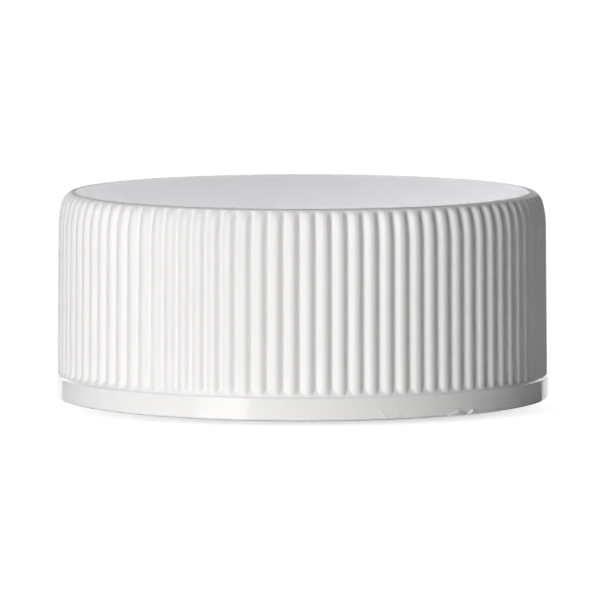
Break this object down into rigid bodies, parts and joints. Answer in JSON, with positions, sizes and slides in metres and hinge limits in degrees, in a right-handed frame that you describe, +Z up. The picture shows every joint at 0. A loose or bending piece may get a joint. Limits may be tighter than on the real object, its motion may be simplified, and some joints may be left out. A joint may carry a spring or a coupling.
{
  "type": "ribbed continuous thread cap",
  "caption": "White ribbed screw cap with a flat top, rounded shoulder, plain rim band, continuous inner thread and a foam liner.",
  "frame": {"origin": "on the cap's axis, in the plane of the open rim it stands on", "axes": "+Z up along the cap's axis from the rim to the top panel, +X through the start of the thread"},
  "size_m": [0.0264, 0.0264, 0.011],
  "materials": {
    "white_polypropylene": "white moulded polypropylene, smooth semi-gloss skirt, finely grained matte top",
    "foamed_polyethylene": "white closed-cell foam with a smooth matte skin"
  },
  "bodies": {
    "root": {"cap_shell": "white_polypropylene", "liner": "foamed_polyethylene"}
  },
  "joints": []
}
